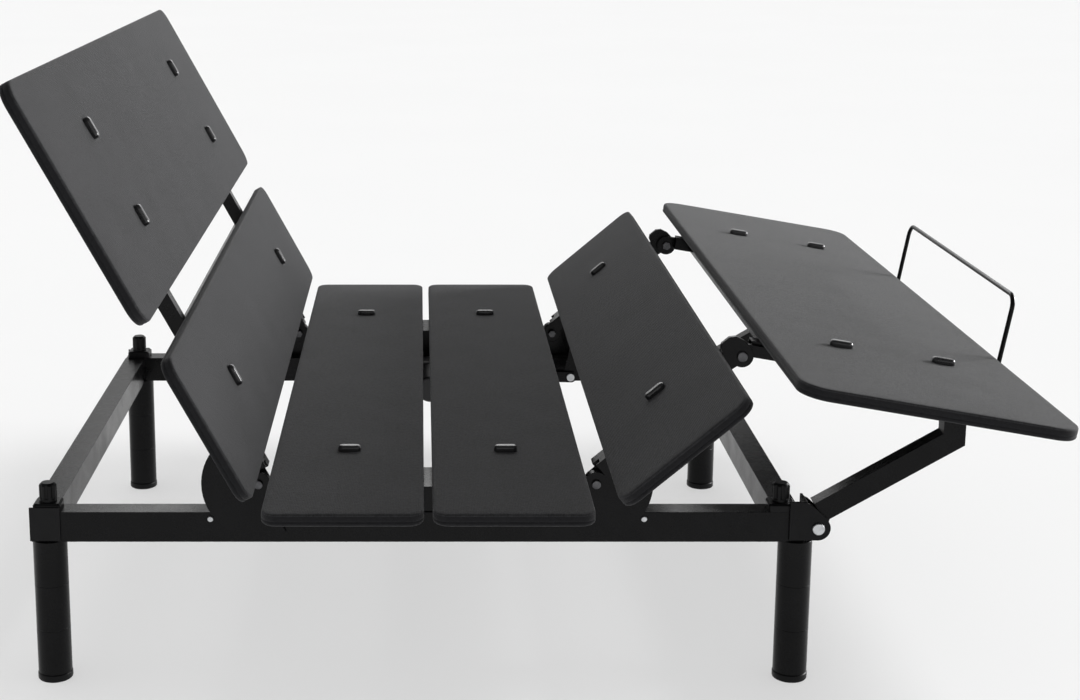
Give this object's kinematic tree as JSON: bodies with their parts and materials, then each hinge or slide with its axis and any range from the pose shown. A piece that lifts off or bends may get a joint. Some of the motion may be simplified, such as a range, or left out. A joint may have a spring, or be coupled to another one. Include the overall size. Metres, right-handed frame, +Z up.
{
  "type": "adjustable bed base",
  "caption": "Adjustable bed base with fabric-covered deck panels on a black steel frame; the back section and the leg sections rise on hinges, lifted by actuators beneath the deck.",
  "frame": {"origin": "On the floor, midway between the four legs along and across the bed.", "axes": "+X runs along the bed to the foot end, +Y to the far side, +Z up from the floor."},
  "size_m": [1.6116, 1.52, 1.0081],
  "materials": {
    "fabric": "charcoal woven upholstery",
    "black_steel": "black powder coat",
    "black_plastic": "moulded black",
    "zinc": "zinc plated"
  },
  "bodies": {
    "base": {"side_rail_near": "black_steel", "side_rail_far": "black_steel", "rail_caps": "black_plastic", "head_cross_rail": "black_steel", "foot_cross_rail": "black_steel", "corner_knobs": "black_plastic", "leg_sections": "black_steel", "leg_studs": "zinc", "foot_pads": "black_plastic", "hinge_ears": "black_steel", "pivot_bolts": "zinc", "frame_bolts": "zinc", "link_clevises": "black_steel", "link_pins": "zinc", "seat_bearers": "black_steel", "seat_spacers": "black_plastic", "seat_panel_head_side": "fabric", "seat_panel_foot_side": "fabric", "seat_nubs": "black_plastic", "actuator_brackets": "black_steel", "actuator_anchor_pins": "zinc", "control_box": "black_plastic", "mains_inlet": "black_plastic"},
    "back_section": {"back_tube_near": "black_steel", "back_tube_far": "black_steel", "back_cross_tubes": "black_steel", "back_hinge_plates": "black_steel", "back_lift_lever": "black_steel", "back_panel": "fabric", "head_panel": "fabric", "back_nubs": "black_plastic"},
    "thigh_section": {"thigh_tubes": "black_steel", "thigh_cross_tubes": "black_steel", "thigh_hinge_plates": "black_steel", "thigh_lift_lever": "black_steel", "thigh_panel": "fabric", "thigh_nubs": "black_plastic", "knee_elbow_plates": "black_steel", "knee_bolts": "zinc"},
    "foot_section": {"foot_tubes": "black_steel", "foot_cross_tubes": "black_steel", "knee_foot_lugs": "black_steel", "link_brackets": "black_steel", "foot_panel": "fabric", "foot_nubs": "black_plastic", "retainer_bar": "black_steel", "retainer_clamps": "black_steel"},
    "link_near": {"foot_link_near": "black_steel", "link_top_pin_near": "zinc"},
    "link_far": {"foot_link_far": "black_steel", "link_top_pin_far": "zinc"},
    "head_drive": {"head_actuator_tube": "black_steel", "head_actuator_drive": "black_plastic"},
    "head_rod": {"head_actuator_push_rod": "black_steel", "head_actuator_fork_pin": "zinc"},
    "foot_drive": {"foot_actuator_tube": "black_steel", "foot_actuator_drive": "black_plastic"},
    "foot_rod": {"foot_actuator_push_rod": "black_steel", "foot_actuator_fork_pin": "zinc"}
  },
  "joints": [
    {"name": "back_hinge", "type": "hinge", "parent": "base", "child": "back_section", "pos_m": [-0.262, 0, 0.3395], "axis": [0, 1, 0], "range_deg": [-61.6, 0]},
    {"name": "thigh_hinge", "type": "hinge", "parent": "base", "child": "thigh_section", "pos_m": [0.277, 0, 0.3395], "axis": [0, -1, 0], "range_deg": [-40.4, 0]},
    {"name": "knee_hinge", "type": "hinge", "parent": "thigh_section", "child": "foot_section", "pos_m": [0.51041, 0, 0.53815], "axis": [0, -1, 0], "range_deg": [0, 50.2]},
    {"name": "link_near_hinge", "type": "hinge", "parent": "base", "child": "link_near", "pos_m": [0.634, -0.479, 0.265], "axis": [0, -1, 0], "range_deg": [-31.01, 0]},
    {"name": "link_far_hinge", "type": "hinge", "parent": "base", "child": "link_far", "pos_m": [0.634, 0.479, 0.265], "axis": [0, -1, 0], "range_deg": [-31.01, 0]},
    {"name": "head_drive_hinge", "type": "hinge", "parent": "base", "child": "head_drive", "pos_m": [0.07, -0.4, 0.262], "axis": [0, 1, 0], "range_deg": [-2.93, 0]},
    {"name": "head_rod_slide", "type": "slide", "parent": "head_drive", "child": "head_rod", "axis": [-0.9986, 0, 0.0538], "range_m": [-0.07999, 0]},
    {"name": "foot_drive_hinge", "type": "hinge", "parent": "base", "child": "foot_drive", "pos_m": [-0.03, 0.4, 0.275], "axis": [0, -1, 0], "range_deg": [-1.19, 0]},
    {"name": "foot_rod_slide", "type": "slide", "parent": "foot_drive", "child": "foot_rod", "axis": [0.9997, 0, -0.0235], "range_m": [-0.05487, 0]}
  ],
  "couplings": [
    {"joint": "knee_hinge", "follows": "thigh_hinge", "ratio": -1.2426},
    {"joint": "link_near_hinge", "follows": "thigh_hinge", "ratio": 0.7675},
    {"joint": "link_far_hinge", "follows": "thigh_hinge", "ratio": 0.7675},
    {"joint": "head_drive_hinge", "follows": "back_hinge", "ratio": 0.047546},
    {"joint": "head_rod_slide", "follows": "back_hinge", "m_per_rad": 0.074397},
    {"joint": "foot_drive_hinge", "follows": "thigh_hinge", "ratio": 0.029327},
    {"joint": "foot_rod_slide", "follows": "thigh_hinge", "m_per_rad": 0.077816}
  ]
}
